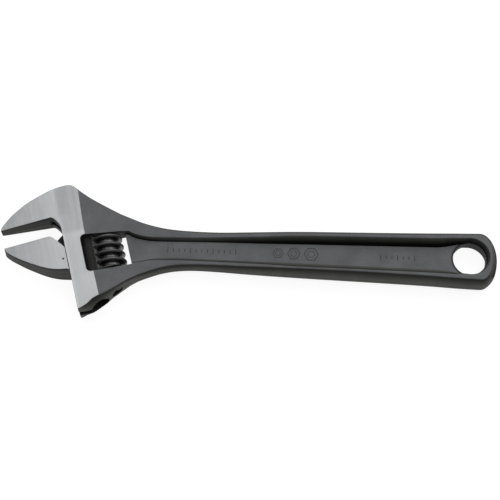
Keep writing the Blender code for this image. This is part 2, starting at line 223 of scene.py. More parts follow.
# The sliding jaw, clockwise from its tip, and the web of its neck: v, u.
JAW_BLOCK = (
    (-30.7, -JAW_GAP),
    (-7.6, -JAW_GAP),
    (-6.4, -JAW_GAP - 0.3),
    (-5.3, -JAW_GAP - 1.2),
    (-3.3, -JAW_GAP - 3.5),
    (-0.15, -JAW_GAP - 7.95),
    (-0.15, -30.1),
    (-5.6, -28.9),
    (-9.7, -27.4),
    (-13.7, -25.3),
    (-17.6, -22.75),
    (-21.4, -20.1),
    (-25.1, -17.15),
    (-28.2, -14.5),
    (-30.4, -12.0),
    (-30.9, -10.6),
)
NECK_WEB = (
    (-5.5, -13.6),
    (-3.6, -11.4),
    (-0.2, -8.8),
    (6.0, -7.6),
    (10.0, -7.6),
    (10.0, -29.6),
    (-5.5, -27.0),
)


class Wire:
    """A node's output that Python's operators work on."""

    def __init__(self, bench, socket):
        self.bench = bench
        self.socket = socket

    def maths(self, operation, *others):
        return self.bench.node("ShaderNodeMath", {"operation": operation}, [self, *others])

    def __add__(self, other):
        return self.maths("ADD", other)

    def __sub__(self, other):
        return self.maths("SUBTRACT", other)

    def __mul__(self, other):
        return self.maths("MULTIPLY", other)

    def __truediv__(self, other):
        return self.maths("DIVIDE", other)

    def __pow__(self, other):
        return self.maths("POWER", other)

    def __gt__(self, other):
        return self.maths("GREATER_THAN", other)

    def __lt__(self, other):
        return self.maths("LESS_THAN", other)

    def __neg__(self):
        return self.maths("MULTIPLY", -1.0)

    def __rsub__(self, other):
        return self.bench.node("ShaderNodeMath", {"operation": "SUBTRACT"}, [other, self])

    __radd__ = __add__
    __rmul__ = __mul__

    def __abs__(self):
        return self.maths("ABSOLUTE")

    def clamp(self, low=0.0, high=1.0):
        return self.maths("MAXIMUM", low).maths("MINIMUM", high)

    def step(self, low, high):
        """0 below low, 1 above high, and a smooth rise between them."""
        t = ((self - low) / (high - low)).clamp()
        return t * t * (3.0 - 2.0 * t)


class Bench:
    """One node tree, shader or geometry, and the single way that its nodes are made."""

    def __init__(self, tree):
        self.tree = tree

    def node(self, kind, settings=None, values=None, output=0):
        made = self.tree.nodes.new(kind)
        for name, value in (settings or {}).items():
            setattr(made, name, value)
        pairs = values.items() if isinstance(values, dict) else enumerate(values or [])
        for key, value in pairs:
            self.feed(made.inputs[key], value)
        return Wire(self, made.outputs[output])

    def feed(self, socket, value):
        if isinstance(value, Wire):
            self.tree.links.new(value.socket, socket)
        elif value is not None:
            socket.default_value = value

    def part(self, vector, which):
        """One of a vector's three numbers."""
        return self.node("ShaderNodeSeparateXYZ", {}, [vector], output=which)


def place(x, y, z=0.0):
    return (Vector((x, y, z)) + SHIFT) * MM


def jaw_plan(v, u):
    """(x, y) of a point of the jaws' frame."""
    return (JAW_CORNER[0] + v * JAW_COS - u * JAW_SIN, JAW_CORNER[1] + v * JAW_SIN + u * JAW_COS)


def jaw_place(v, u, z=0.0):
    return place(*jaw_plan(v, u), z)


def jaw_spot(x, y):
    """(v, u) of a point in plan."""
    dx, dy = x - JAW_CORNER[0], y - JAW_CORNER[1]
    return (dx * JAW_COS + dy * JAW_SIN, dy * JAW_COS - dx * JAW_SIN)


def curve_at(rows, x, column):
    """A smooth curve through one column of the rows."""
    if x <= rows[0][0]:
        return rows[0][column]
    if x >= rows[-1][0]:
        return rows[-1][column]
    k = next(i for i in range(len(rows) - 1) if x <= rows[i + 1][0])

    def slope(i):
        a, b = rows[max(i - 1, 0)], rows[min(i + 1, len(rows) - 1)]
        return (b[column] - a[column]) / (b[0] - a[0])

    step = rows[k + 1][0] - rows[k][0]
    t = (x - rows[k][0]) / step
    first, last = rows[k][column], rows[k + 1][column]
    rise = (t**3 - 2 * t**2 + t) * slope(k) + (t**3 - t**2) * slope(k + 1)
    return (2 * t**3 - 3 * t**2 + 1) * first + (3 * t**2 - 2 * t**3) * last + rise * step


def spine_at(x):
    return min(curve_at(HANDLE_SPINE, x, 1), HANDLE_SPINE[-1][1])


def jaw_half(v):
    """Half the jaws' thickness, which falls towards their tips."""
    return HALF_THICK + (HALF_THICK - TIP_HALF) * v / JAW_REACH


def half_at(x, y):
    """Half the forging's thickness at a point of its plan."""
    v, u = jaw_spot(x, y)
    if v < 0:
        return jaw_half(v)
    head = HALF_THICK - HEAD_FALL * max(0.0, v - curve_at(GROUND_EDGE, u, 1))
    return max(head, spine_at(x)) if x > HANDLE_SPINE[0][0] else head


def between(p, q, r, s, t):
    """A smooth curve from q to r, which p and s lead into and out of."""
    square = (2 * p - 5 * q + 4 * r - s) * t * t
    cube = (3 * q - p - 3 * r + s) * t**3
    return 0.5 * (2 * q + (r - p) * t + square + cube)


def spline(points, most):
    """The points with others between them on a smooth curve, no further apart than most."""
    line = []
    count = len(points)
    for i in range(count - 1):
        near = (points[max(i - 1, 0)], points[i], points[i + 1], points[min(i + 2, count - 1)])
        parts = max(1, math.ceil(math.dist(near[1][:2], near[2][:2]) / most))
        for k in range(parts):
            line.append(tuple(between(*column, k / parts) for column in zip(*near)))
    line.append(tuple(points[-1]))
    return line


def circle(across, up, radius, sides):
    """Points round a circle in plan."""
    angles = [2 * math.pi * i / sides for i in range(sides)]
    return [(across + radius * math.cos(a), up + radius * math.sin(a)) for a in angles]


def inward_ways(line):
    """At each point of a closed line, the way to its left, which is inward on an anticlockwise one."""
    ways = []
    for i in range(len(line)):
        a, b = line[i - 1], line[(i + 1) % len(line)]
        along = Vector((b[0] - a[0], b[1] - a[1])).normalized()
        ways.append((-along.y, along.x))
    return ways


def mesh_piece(name, build):
    mesh = bpy.data.meshes.new(name)
    work = bmesh.new()
    build(work)
    bmesh.ops.recalc_face_normals(work, faces=work.faces)
    work.to_mesh(mesh)
    work.free()
    piece = bpy.data.objects.new(name, mesh)
    bpy.context.scene.collection.objects.link(piece)
    return piece


def skin(work, rings):
    """Closed rings joined one to the next, with both ends filled."""
    rows = [[work.verts.new(point) for point in ring] for ring in rings]
    for low, high in zip(rows, rows[1:]):
        for i in range(len(low)):
            j = (i + 1) % len(low)
            work.faces.new((low[i], low[j], high[j], high[i]))
    work.faces.new(rows[0][::-1])
    work.faces.new(rows[-1])


def layers(work, outline, low, high, where=place):
    """A plate with this outline between two levels."""
    skin(work, [[where(a, b, z) for a, b in outline] for z in (low, high)])


def slab(name, outline, low, high, where=place):
    return mesh_piece(name, lambda work: layers(work, outline, low, high, where))


def turned(name, v, profile, sides):
    """A piece turned on a lathe, on an axis along u. The profile is (radius, u) rows."""

    def build(work):
        skin(work, [[jaw_place(a, u, z) for a, z in circle(v, 0.0, radius, sides)] for radius, u in profile])

    return mesh_piece(name, build)


def combine(piece, cutter, operation="DIFFERENCE"):
    modifier = piece.modifiers.new(cutter.name, "BOOLEAN")
    modifier.operation = operation
    modifier.solver = "EXACT"
    modifier.object = cutter


def settle(piece):
    """Turns a piece and its modifiers into a plain mesh, and takes the cutters away."""
    bpy.context.view_layer.update()
    graph = bpy.context.evaluated_depsgraph_get()
    mesh = bpy.data.meshes.new_from_object(piece.evaluated_get(graph))
    cutters = [m.object for m in piece.modifiers if m.type == "BOOLEAN"]
    piece.modifiers.clear()
    old = piece.data
    piece.data = mesh
    bpy.data.meshes.remove(old)
    for cutter in cutters:
        bpy.data.objects.remove(cutter)
    mesh.name = piece.name
    return piece


def clean(piece, least=0.01):
    """Merges the doubles that the cutters leave."""
    work = bmesh.new()
    work.from_mesh(piece.data)
    bmesh.ops.remove_doubles(work, verts=work.verts, dist=least * MM)
    bmesh.ops.dissolve_degenerate(work, edges=work.edges, dist=least * MM)
    work.to_mesh(piece.data)
    work.free()


def smooth(piece, angle):
    for polygon in piece.data.polygons:
        polygon.use_smooth = True
    piece.data.set_sharp_from_angle(angle=math.radians(angle))


def weigh_normals(piece, angle=38.0):
    smooth(piece, angle)
    modifier = piece.modifiers.new("weighted", "WEIGHTED_NORMAL")
    modifier.weight = 60
    modifier.keep_sharp = True
    settle(piece)


# Finishes.


def finish(name, color, metallic, roughness, build=None, specular=0.5):
    material = bpy.data.materials.new(name)
    material.use_nodes = True
    shader = material.node_tree.nodes["Principled BSDF"]
    shader.inputs["Base Color"].default_value = (*color, 1.0)
    shader.inputs["Metallic"].default_value = metallic
    shader.inputs["Roughness"].default_value = roughness
    shader.inputs["Specular IOR Level"].default_value = specular
    if build:
        build(Bench(material.node_tree), shader)
    return material


def object_place(bench, scale=(1.0, 1.0, 1.0), turn=0.0):
    """Object coordinates in millimetres, turned about the thickness and stretched."""
    spot = bench.node("ShaderNodeTexCoord", output="Object")
    turned_spot = bench.node(
        "ShaderNodeMapping",
        {"vector_type": "POINT"},
        {0: spot, "Rotation": (0.0, 0.0, -turn), "Scale": (1.0, 1.0, 1.0)},
    )
    stretch = [s * PER_METRE for s in scale]
    return bench.node("ShaderNodeMapping", {"vector_type": "POINT"}, {0: turned_spot, "Scale": stretch})


def jaw_ways(bench):
    """The jaws' own v and u, in millimetres, of a shaded point."""
    spot = object_place(bench)
    x = bench.part(spot, 0) - (SHIFT.x + JAW_CORNER[0])
    y = bench.part(spot, 1) - (SHIFT.y + JAW_CORNER[1])
    return x * JAW_COS + y * JAW_SIN, y * JAW_COS - x * JAW_SIN


def noise(bench, vector, scale, detail=3.0, rough=0.55):
    return bench.node(
        "ShaderNodeTexNoise",
        {"noise_dimensions": "3D"},
        {"Vector": vector, "Scale": scale, "Detail": detail, "Roughness": rough},
    )


def distance(across, up):
    return (across * across + up * up).maths("SQRT")


def blend(bench, factor, first, second):
    """One colour into another. A colour is a wire or three numbers."""
    ends = [end if isinstance(end, Wire) else (*end, 1.0) for end in (first, second)]
    return bench.node("ShaderNodeMix", {"data_type": "RGBA"}, {0: factor, 6: ends[0], 7: ends[1]}, output=2)


def bump(bench, height, strength, distance):
    return bench.node(
        "ShaderNodeBump",
        {},
        {"Strength": strength, "Distance": distance * MM, "Height": height},
    )


def phosphate(bench, shader, middle=(0.078, 0.078, 0.071), rim=(0.021, 0.021, 0.019), foot=1.0):
    """Grey phosphate on a forging: fine crystals and faint clouds, with painted shade on its flanks. Foot is
    how light it is low down.
    """
    spot = object_place(bench)
    crystals = noise(bench, spot, 5.0, 2.0, 0.7)
    grain = noise(bench, spot, 1.6, 4.0, 0.6)
    clouds = noise(bench, spot, 0.11, 3.0, 0.5)
    shade = (grain * 0.45 + clouds * 0.55).step(0.36, 0.66)
    speck = crystals.step(0.60, 0.74)
    # The fronts are bluish and lighter. The flanks are browner and darker, and darkest at the rim: painted
    # shade.
    facing = bench.part(bench.node("ShaderNodeTexCoord", output="Normal"), 2)
    front = abs(facing).step(0.75, 0.985)
    height = bench.node("ShaderNodeAttribute", {"attribute_name": "height"}, output=2)
    # A foot below 1 paints shade: darker low down on the flanks.
    fade = foot + (1.0 - foot) * height.step(0.3, 1.0)
    front_color = blend(bench, shade, (0.094, 0.096, 0.099), (0.122, 0.124, 0.128))
    # A faint dark parting line runs round the middle of the flanks.
    parting = 1.0 - height.step(0.08, 0.22)
    # Painted shade: the flanks and inner faces of the jaws are darker.
    jaws = 1.0 - jaw_ways(bench)[0].step(-1.5, 0.5)
    walls = blend(bench, height.step(0.5, 0.97), middle, rim)
    lightness = fade * (0.8 + 0.2 * shade) * (1.0 - 0.5 * parting) * (1.0 - 0.4 * jaws)
    flank_color_and_shade = blend(bench, lightness, (0.001, 0.001, 0.001), walls)
    plain = blend(bench, front, flank_color_and_shade, front_color)
    color = blend(bench, speck * front * 0.25, plain, (0.19, 0.19, 0.185))
    # Painted shade: a dark ring round the hanging hole.
    across = bench.part(spot, 0) - (SHIFT.x + HOLE_X)
    up = bench.part(spot, 1) - (SHIFT.y + HOLE_Y)
    ring = 1.0 - distance(across, up).step(HOLE_RADIUS + 0.6, HOLE_RADIUS + 1.3)
    color = blend(bench, ring * 0.85, color, (0.008, 0.008, 0.008))
    bench.feed(shader.inputs["Base Color"], color)
    bench.feed(shader.inputs["Roughness"], 0.54 + 0.14 * grain - 0.08 * speck)
    relief = grain * 0.7 + crystals * 0.3
    bench.feed(shader.inputs["Normal"], bump(bench, relief, 0.25, 0.05))


def shaded_phosphate(bench, shader):
    """The recess's walls: the same coat with painted shade, lightest at the rim and fading to black towards
    the foot.
    """
    phosphate(bench, shader, (0.022, 0.022, 0.020), (0.085, 0.085, 0.080), 0.0)


def ground_faces(bench, shader):
    """Steel ground across the head: fine lines along the slide, a few deeper ones, soft bands."""
    lines = object_place(bench, (6.0, 0.10, 0.4), JAW_ANGLE)
    fine = noise(bench, lines, 2.2, 3.0, 0.7)
    bands_place = object_place(bench, (0.6, 0.05, 0.1), JAW_ANGLE)
    bands = noise(bench, bands_place, 0.8, 3.0, 0.55)
    clouds = noise(bench, object_place(bench), 0.09, 2.0, 0.5)
    deep = fine.step(0.62, 0.78)
    shade = (0.45 * fine + 0.35 * bands + 0.2 * clouds).step(0.34, 0.66)
    color = blend(bench, shade, (0.31, 0.315, 0.325), (0.41, 0.415, 0.425))
    # Painted reflection: the sliding jaw is brightest beside the slide. Painted shade: the head's strip is
    # darker than the jaws.
    v, u = jaw_ways(bench)
    sliding_jaw = v.step(-34.0, 0.0) * (-u).step(9.0, 12.0)
    strip_painted_shade = v.step(-1.0, 2.0)
    color = blend(bench, sliding_jaw * 0.42, color, (0.56, 0.565, 0.575))
    color = blend(bench, strip_painted_shade * 0.27, color, (0.0, 0.0, 0.0))
    bench.feed(shader.inputs["Base Color"], color)
    bench.feed(shader.inputs["Roughness"], 0.28 + 0.12 * shade + 0.08 * deep)
    height = fine * 0.8 + bands * 0.2
    bench.feed(shader.inputs["Normal"], bump(bench, height, 0.18, 0.02))


def oiled_black(bench, shader):
    """Black oxide with a film of oil: glossy, with a fine turned texture."""
    spot = object_place(bench)
    grain = noise(bench, spot, 1.4, 3.0, 0.6)
    smear = noise(bench, spot, 0.35, 2.0, 0.5)
    shade = (0.6 * grain + 0.4 * smear).step(0.38, 0.64)
    color = blend(bench, shade, (0.002, 0.002, 0.002), (0.006, 0.006, 0.006))
    # Painted sheen: the crests are lighter. They are also duller than the flanks.
    across = jaw_ways(bench)[0] - WORM_V
    up = bench.part(spot, 2) - SHIFT.z
    crest = distance(across, up).step(WORM_CREST - 1.0, WORM_CREST - 0.35)
    color = blend(bench, crest * (0.55 + 0.45 * shade), color, (0.05, 0.05, 0.049))
    bench.feed(shader.inputs["Base Color"], color)
    bench.feed(shader.inputs["Roughness"], 0.18 + 0.12 * shade + 0.14 * crest)
    bench.feed(shader.inputs["Normal"], bump(bench, grain, 0.15, 0.03))


def rail_black(bench, shader):
    """The rail and rack: black, drier than the worm."""
    spot = object_place(bench)
    grain = noise(bench, spot, 1.8, 4.0, 0.65)
    # Painted highlights: the tips of the teeth, on the side away from the jaws, are lighter.
    tips = jaw_ways(bench)[0].step(RAIL_V + 2.2, RAIL_V + 3.6)
    dull = blend(bench, grain.step(0.4, 0.65), (0.005, 0.005, 0.005), (0.016, 0.016, 0.016))
    color = blend(bench, tips * grain.step(0.35, 0.6), dull, (0.2, 0.2, 0.197))
    bench.feed(shader.inputs["Base Color"], color)
    bench.feed(shader.inputs["Roughness"], 0.42 + 0.2 * grain)
    bench.feed(shader.inputs["Normal"], bump(bench, grain, 0.3, 0.04))


def bore_black(bench, shader):
    """The insides of the bores: near black, dull."""
    grain = noise(bench, object_place(bench), 1.2, 2.0, 0.6)
    bench.feed(shader.inputs["Base Color"], blend(bench, grain, (0.008, 0.008, 0.008), (0.016, 0.016, 0.015)))
    bench.feed(shader.inputs["Roughness"], 0.5 + 0.2 * grain)


def drawn_wire(bench, shader):
    """The spring's wire: bare steel, a little uneven."""
    grain = noise(bench, object_place(bench), 2.5, 2.0, 0.5)
    bench.feed(shader.inputs["Base Color"], blend(bench, grain, (0.22, 0.22, 0.22), (0.36, 0.36, 0.36)))
    bench.feed(shader.inputs["Roughness"], 0.26 + 0.16 * grain)


def etched(bench, shader):
    """The etched marks: dark and dull, broken up by paler specks."""
    grain = noise(bench, object_place(bench), 4.0, 3.0, 0.7)
    color = blend(bench, grain.step(0.5, 0.66), (0.022, 0.022, 0.022), (0.12, 0.12, 0.12))
    bench.feed(shader.inputs["Base Color"], color)
    bench.feed(shader.inputs["Roughness"], 0.55 + 0.2 * grain)


def make_finishes():
    """The finishes by name, each with its plain colour, metallic and roughness."""
    return {
        "forged": finish("phosphated_forging", (0.08, 0.08, 0.08), 0.0, 0.6, phosphate, 0.18),
        "recess": finish("recess_wall_painted_shade", (0.03, 0.03, 0.03), 0.0, 0.6, shaded_phosphate, 0.05),
        "ground": finish("ground_steel", (0.42, 0.42, 0.43), 1.0, 0.4, ground_faces),
        "oiled": finish("oiled_black_oxide", (0.014, 0.014, 0.014), 0.0, 0.28, oiled_black, 1.0),
        "rail": finish("rail_black", (0.03, 0.03, 0.03), 0.0, 0.45, rail_black, 0.15),
        "bore": finish("bore_black", (0.012, 0.012, 0.012), 0.0, 0.6, bore_black, 0.15),
        "wire": finish("spring_wire", (0.3, 0.3, 0.3), 1.0, 0.3, drawn_wire),
        "etched": finish("etched_mark", (0.25, 0.25, 0.25), 0.2, 0.6, etched),
    }


# The forging.


def rim_at(x, y):
    """How far the rim of the edge is rounded: crisp where it is ground, soft where it is only forged."""
    ground_end, change = 11.0, 6.0
    crisp, softer = 0.12, 0.43
    return crisp + softer * min(max((jaw_spot(x, y)[0] - ground_end) / change, 0.0), 1.0)


def forging_line():
    """The forging's edge, anticlockwise from the fixed jaw's tip, as (x, y, swell)."""
    line = [(*jaw_plan(TIP_V, 0.0), 0.1)]
    line += [(*jaw_plan(*point), 0.0) for point in spline(THROAT, 0.9)[::-1]]
    line.append((*jaw_plan(0.0, HEAD_FOOT), 0.2))
    line += spline(HEAD_NOSE, 1.6)[::-1]
    first, last = HANDLE_EDGE[0][0], HANDLE_EDGE[-1][0]
    count = 66
    spots = [first + (last - first) * i / count for i in range(count + 1)]
    for x in spots:
        line.append((x, -curve_at(HANDLE_EDGE, x, 2), curve_at(HANDLE_EDGE, x, 3)))
    turns = 30
    for i in range(1, turns):
        angle = -math.pi / 2 + math.pi * i / turns
        half = HANDLE_EDGE[-1][2] if angle < 0 else HANDLE_EDGE[-1][1]
        x = END_X - END_LONG + END_LONG * math.cos(angle)
        line.append((x, half * math.sin(angle), HANDLE_EDGE[-1][3]))
    for x in reversed(spots):
        line.append((x, curve_at(HANDLE_EDGE, x, 1), curve_at(HANDLE_EDGE, x, 3)))
    line += spline([(a, b, 0.35) for a, b in reversed(HEAD_BACK)], 1.8)
    return line


BODY_FINISHES = ("forged", "ground", "bore", "recess")
# How far below the front, and how far in, each ring of a rounded rim stands, in radii.
RIM = ((1.0, 0.0), (0.62, 0.076), (0.29, 0.293), (0.076, 0.62), (0.0, 1.0))


def clear_of(ring, height):
    """The same ring at a height in metres where it is clear of the wrench."""
    return [(p.x, p.y, height) for p in ring]


def forging_blank():
    line = forging_line()
    ways = inward_ways(line)

    def ring(t, drop, step):
        made = []
        for (x, y, swell), way in zip(line, ways):
            rim = rim_at(x, y)
            half = half_at(x, y)
            level = min(abs(t) * half, half - rim * drop) if drop else abs(t) * half
            inset = swell * min(level / half, 1.0) ** 2.2 + rim * step
            made.append(place(x + way[0] * inset, y + way[1] * inset, math.copysign(level, t)))
        return made

    def build(work):
        tops = [ring(t, 1.0, 0.0) for t in (0.4, 0.65)]
        tops += [ring(1.0, drop, step) for drop, step in RIM]
        lows = [ring(t, 1.0, 0.0) for t in (-0.4, -0.65)]
        lows += [ring(-1.0, drop, step) for drop, step in RIM]
        middle = ring(0.0, 0.0, 0.0)
        skin(work, [clear_of(lows[-1], BELOW), *reversed(lows), middle, *tops, clear_of(tops[-1], ABOVE)])

    return mesh_piece("wrench_body", build)


def forging_thickness():
    """What the blank is kept inside: the ground head with its falling back, and the handle's spine."""
    near, far = -33.0, 50.0
    step = 2
    rings = []
    for u in range(int(GROUND_EDGE[0][0]), int(GROUND_EDGE[-1][0]) + 1, step):
        edge = curve_at(GROUND_EDGE, u, 1)
        fall = HALF_THICK - HEAD_FALL * (far - edge)
        top = ((near, jaw_half(near)), (0.0, HALF_THICK), (edge, HALF_THICK), (far, fall))
        section = [*top, *[(v, -z) for v, z in reversed(top)]]
        rings.append([jaw_place(v, u, z) for v, z in section])
    head = mesh_piece("head_thickness", lambda work: skin(work, rings))
    count = 70
    first, last = HANDLE_SPINE[0][0], HANDLE_SPINE[-1][0]
    spots = [first + (last - first) * i / count for i in range(count + 1)]
    rows = [(x, spine_at(x)) for x in spots]
    rows += [(x, -z) for x, z in reversed(rows)]
    side = 45.0
    spine = slab("spine_thickness", rows, -side, side, lambda x, z, y: place(x, y, z))
    combine(head, spine, "UNION")
    return settle(head)


def recess_cutter(side):
    """A drafted pocket down to the web, with a soft rim where it meets the front."""
    rim = 0.55
    close_step, wide_step = 0.8, 2.5
    bend_end = -46.0
    last_gap = 1.5

    def wall(rows, up):
        """One wall's points, closer together round the bend at its head end."""
        x, spots = rows[0][0], []
        while x < rows[-1][0] - last_gap:
            spots.append(x)
            x += close_step if x < bend_end else wide_step
        spots.append(rows[-1][0])
        return [(x, 0.0, 0.0, up, curve_at(rows, x, 1), curve_at(rows, x, 2)) for x in spots]

    line = wall(RECESS_BELOW, -1.0)
    turns = 40
    for i in range(turns + 1):
        angle = -math.pi / 2 + math.pi * i / turns
        line.append((HOLE_X, HOLE_Y, math.cos(angle), math.sin(angle), *RECESS_END))
    line += reversed(wall(RECESS_ABOVE, 1.0))

    def ring(share, drop, step):
        made = []
        for x, y, across, up, web, front in line:
            half = half_at(x, 0.0)
            level = WEB_HALF + (half - WEB_HALF) * share - rim * drop
            out = web + (front - web) * (level - WEB_HALF) / (half - WEB_HALF) + rim * step
            made.append(place(x + across * out, y + up * out, side * level))
        return made

    def build(work):
        rings = [ring(0.0, 0.0, 0.0)]
        rings += [ring(1.0, drop, step * 0.8) for drop, step in RIM]
        rings.append(clear_of(rings[-1], ABOVE if side > 0 else BELOW))
        skin(work, rings)

    return mesh_piece("recess_cutter", build)


def window_line():
    """The window's edge, with round corners towards the jaws. The side towards the head's back slants."""
    v0, v1 = WINDOW_V
    u0, u1 = WINDOW_U
    r = WINDOW_CORNER
    corner = u1 + WINDOW_TILT * (v0 + r - WORM_V) - r
    line = [(v1, u0), (v1, u1 + WINDOW_TILT * (v1 - WORM_V))]
    turns = 8
    for start, centre in ((math.pi / 2, corner), (math.pi, u0 + r)):
        for i in range(turns + 1):
            angle = start + math.pi / 2 * i / turns
            line.append((v0 + r + r * math.cos(angle), centre + r * math.sin(angle)))
    return line


def through_cutter(name, line, rim):
    """A hole right through, its front and back rims rounded. The line is in plan, anticlockwise."""
    ways = inward_ways(line)

    def ring(side, drop, step):
        return [
            place(x - way[0] * rim * step, y - way[1] * rim * step, side * (half_at(x, y) - rim * drop))
            for (x, y), way in zip(line, ways)
        ]

    def build(work):
        tops = [ring(1, drop, step) for drop, step in RIM]
        lows = [ring(-1, drop, step) for drop, step in RIM]
        skin(work, [clear_of(lows[-1], BELOW), *reversed(lows), *tops, clear_of(tops[-1], ABOVE)])

    return mesh_piece(name, build)


def bored(name, v, radius, u_low, u_high, sides):
    return turned(name, v, ((radius, u_low), (radius, u_high)), sides)


def wrench_body(finishes):
    body = forging_blank()
    combine(body, forging_thickness(), "INTERSECT")
    combine(body, recess_cutter(1))
    combine(body, recess_cutter(-1))
    window_rim = 0.35
    combine(body, through_cutter("window_cutter", [jaw_plan(*point) for point in window_line()], window_rim))
    clear = HALF_THICK + 2.0
    combine(body, slab("hole_cutter", circle(HOLE_X, HOLE_Y, HOLE_RADIUS, 96), -clear, clear))
    bore = bored("rail_bore", RAIL_V, RAIL_BORE, PAST_FOOT, RAIL_BORE_END, 72)
    slit_end = 2.6
    slit = (
        (SLIT_V, PAST_FOOT),
        (SLIT_V, -1.0),
        (-5.2, 0.25),
        (-1.0, slit_end),
        (RAIL_V, slit_end),
        (RAIL_V, PAST_FOOT),
    )
    combine(bore, slab("slit_cutter", slit, -SLIT_HALF, SLIT_HALF, jaw_place), "UNION")
    combine(body, settle(bore))
    into_window = 2.0
    tip_play = 0.4
    combine(body, bored("pin_bore", WORM_V, PIN_BORES[0], PAST_FOOT, WINDOW_U[0] + into_window, 48))
    combine(
        body,
        bored("pin_tip_bore", WORM_V, PIN_BORES[1], WINDOW_U[1] - into_window, PIN_U[2] + tip_play, 40),
    )
    settle(body)
    clean(body)
    dress(body, finishes, BODY_FINISHES, body_finish)
    weigh_normals(body)
    return body


def dress(piece, finishes, names, choose):
    """Gives each face the finish that choose(point, normal) picks, and notes each point's height, 0 to 1."""
    piece.data.materials.clear()
    for name in names:
        piece.data.materials.append(finishes[name])
    for polygon in piece.data.polygons:
        polygon.material_index = choose(polygon.center / MM - SHIFT, polygon.normal)
    height = piece.data.attributes.new("height", "FLOAT", "POINT")
    for vertex, value in zip(piece.data.vertices, height.data):
        p = vertex.co / MM - SHIFT
        value.value = min(abs(p.z) / half_at(p.x, p.y), 1.0)


def body_finish(p, normal):
    """Which of BODY_FINISHES a face of the body has. The recess's wall that faces up is plain; the one that
    faces down gets the recess finish, with its painted shade.
    """
    v, u = jaw_spot(p.x, p.y)
    slack = 0.02
    # These have no limit along u, so two patches of the head's back, in line with the bores, are black too.
    in_rail_bore = math.hypot(v - RAIL_V, p.z) < RAIL_BORE + slack
    in_pin_bore = math.hypot(v - WORM_V, p.z) < PIN_BORES[0] + slack
    in_slit = abs(p.z) < SLIT_HALF + slack and v < RAIL_V and (u < 0.0 or v > SLIT_V + 0.1)
    if in_rail_bore or in_pin_bore or (in_slit and abs(normal.z) > 0.5):
        return BODY_FINISHES.index("bore")
    on_front = abs(normal.z) > 0.985 and abs(p.z) > TIP_HALF - 0.6
    if on_front and v < curve_at(GROUND_EDGE, u, 1) + 0.1:
        return BODY_FINISHES.index("ground")
    front = curve_at(RECESS_ABOVE if p.y > 0 else RECESS_BELOW, p.x, 2)
    past_hole = math.hypot(p.x - HOLE_X, p.y - HOLE_Y) > HOLE_RADIUS + 0.1
    in_recess = p.x > RECESS_ABOVE[0][0] and abs(p.y) < front + 0.15 and past_hole
    on_wall = abs(normal.z) < 0.8 and normal.y < 0.3
    return BODY_FINISHES.index("recess" if in_recess and on_wall else "forged")


# The sliding jaw.


def jaw_block(finishes):
    straight = 6
    line = [*JAW_BLOCK[:straight], *spline(JAW_BLOCK[straight:], 1.4)]
    # The line runs clockwise, so the way in is the opposite one.
    ways = inward_ways(line)
    rim = 0.14
    front_draft, back_draft = 0.4, -0.35

    def ring(t, drop, step):
        made = []
        for i, ((v, u), way) in enumerate(zip(line, ways)):
            draft = (front_draft if t > 0 else back_draft) if i > straight else 0.0
            inset = draft * abs(t) ** 2.2 + rim * step
            level = math.copysign(abs(t) * jaw_half(v) - rim * drop, t)
            made.append(jaw_place(v - way[0] * inset, u - way[1] * inset, level))
        return made

    def side(way):
        low = [ring(way * t, 0.0, 0.0) for t in (0.3, 0.6, 0.85)]
        return low + [ring(way, drop, step) for drop, step in RIM]

    def build(work):
        skin(work, [*reversed(side(-1.0)), ring(0.0, 0.0, 0.0), *side(1.0)])

    block = mesh_piece("sliding_jaw", build)
    ball = {"subdivisions": 3, "radius": 0.75 * MM}
    dimple = mesh_piece("dimple", lambda work: bmesh.ops.create_icosphere(work, **ball))
    dimple.location = jaw_place(-2.1, -23.8, HALF_THICK + 0.15)
    combine(block, dimple)
    settle(block)
    clean(block)
    dress(block, finishes, ("forged", "ground"), lambda p, normal: int(abs(normal.z) > 0.97))
    weigh_normals(block)
    return block


def thread_radius(turn, grow, widen):
    """The thread's radius at a turn, grown outwards and widened to leave clearance."""
    away = abs((turn + 0.5) % 1.0 - 0.5)
    flat, foot = THREAD_FLAT + widen, THREAD_FOOT + widen
    if away <= flat:
        part = 1.0
    elif away >= foot:
        part = 0.0
    else:
        part = 0.5 + 0.5 * math.cos(math.pi * (away - flat) / (foot - flat))
    crown = THREAD_CROWN * min(away / flat, 1.0) ** 2
    return WORM_ROOT + (WORM_CREST - WORM_ROOT) * part - crown * part + grow


def rack_cutter(grow, widen):
    """The worm's thread, long enough for the whole rail, with a little clearance."""
    per_turn, columns = 16, 64
    spare_turns = 3.0
    first = math.floor(RAIL_U[0] / WORM_LEAD - spare_turns)
    last = math.ceil(RAIL_U[1] / WORM_LEAD + spare_turns)
    rows = range(first * per_turn, last * per_turn + 1)

    def build(work):
        verts = []
        for row in rows:
            radius = thread_radius(row / per_turn, grow, widen)
            ring = []
            for k, (v, z) in enumerate(circle(WORM_V, 0.0, radius, columns)):
                u = WORM_LEAD * (row / per_turn + WORM_PHASE + k / columns)
                ring.append(work.verts.new(jaw_place(v, u, z)))
            verts.append(ring)

        def vert(i, k):
            return verts[i + per_turn][0] if k == columns else verts[i][k]

        for i in range(len(verts) - 1 - per_turn):
            for k in range(columns):
                work.faces.new((vert(i, k), vert(i, k + 1), vert(i + 1, k + 1), vert(i + 1, k)))
        bmesh.ops.delete(work, geom=[p for p in work.verts if not p.link_faces], context="VERTS")
        bmesh.ops.holes_fill(work, edges=[e for e in work.edges if e.is_boundary], sides=0)

    return mesh_piece("rack_cutter", build)


